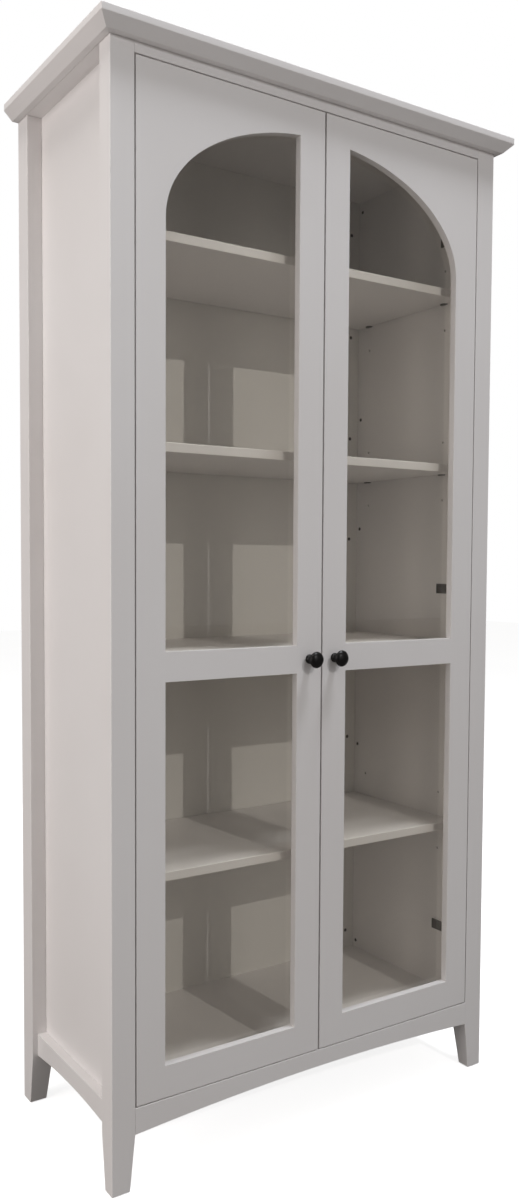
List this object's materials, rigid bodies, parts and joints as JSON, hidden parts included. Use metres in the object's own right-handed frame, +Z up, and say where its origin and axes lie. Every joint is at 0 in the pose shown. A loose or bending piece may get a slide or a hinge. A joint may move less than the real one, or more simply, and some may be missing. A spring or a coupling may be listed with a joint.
{
  "type": "bookcase",
  "caption": "Tall free-standing bookcase with tapered corner feet, bevelled cornice, adjustable shelves and a pair of glazed doors under one elliptical arch.",
  "frame": {"origin": "on the floor, at the middle of the whole object's footprint", "axes": "+X to the right when facing the doors, +Y from the doors to the back, +Z up"},
  "size_m": [0.914, 0.414, 1.9],
  "materials": {
    "painted_wood": "satin white paint over wood",
    "painted_back": "satin white paint over thin board",
    "clear_glass": "clear polished flat glass",
    "black_knob": "satin black",
    "dark_nickel": "dark nickel plate",
    "zinc_steel": "zinc plate",
    "dowel_beech": "bare beech",
    "nylon_glide": "moulded nylon"
  },
  "bodies": {
    "cabinet": {"front_post_left": "painted_wood", "front_post_right": "painted_wood", "rear_post_left": "painted_wood", "rear_post_right": "painted_wood", "side_panel_left": "painted_wood", "side_panel_right": "painted_wood", "side_rail_left": "painted_wood", "side_rail_right": "painted_wood", "apron_front": "painted_wood", "top_rail_front": "painted_wood", "top_rail_rear": "painted_wood", "bottom_rail_rear": "painted_wood", "back_cleat_left": "painted_wood", "back_cleat_right": "painted_wood", "back_panel_upper": "painted_back", "back_panel_lower": "painted_back", "floor_panel": "painted_wood", "ceiling_panel": "painted_wood", "cornice_board": "painted_wood", "cornice_front": "painted_wood", "cornice_left": "painted_wood", "cornice_right": "painted_wood", "shelf_upper": "painted_wood", "shelf_middle": "painted_wood", "shelf_fixed": "painted_wood", "shelf_lower": "painted_wood", "shelf_pins": "dark_nickel", "hinge_plates": "dark_nickel", "hinge_arms": "dark_nickel", "hinge_screws": "dark_nickel", "panel_screws": "dark_nickel", "top_screws": "zinc_steel", "frame_dowels": "dowel_beech", "shelf_dowels": "dowel_beech", "foot_glides": "nylon_glide", "tip_bracket": "zinc_steel"},
    "left_door": {"left_outer_stile": "painted_wood", "left_inner_stile": "painted_wood", "left_top_rail": "painted_wood", "left_mid_rail": "painted_wood", "left_bottom_rail": "painted_wood", "left_upper_glass": "clear_glass", "left_lower_glass": "clear_glass", "left_upper_bead": "painted_wood", "left_lower_bead": "painted_wood", "left_knob": "black_knob", "left_hinge_cups": "dark_nickel", "left_door_screws": "dark_nickel"},
    "right_door": {"right_outer_stile": "painted_wood", "right_inner_stile": "painted_wood", "right_top_rail": "painted_wood", "right_mid_rail": "painted_wood", "right_bottom_rail": "painted_wood", "right_upper_glass": "clear_glass", "right_lower_glass": "clear_glass", "right_upper_bead": "painted_wood", "right_lower_bead": "painted_wood", "right_knob": "black_knob", "right_hinge_cups": "dark_nickel", "right_door_screws": "dark_nickel"}
  },
  "joints": [
    {"name": "left_door_hinge", "type": "hinge", "parent": "cabinet", "child": "left_door", "pos_m": [-0.3831, -0.177, 1], "axis": [0, 0, -1], "range_deg": [0, 105]},
    {"name": "right_door_hinge", "type": "hinge", "parent": "cabinet", "child": "right_door", "pos_m": [0.3831, -0.177, 1], "axis": [0, 0, 1], "range_deg": [0, 105]}
  ]
}
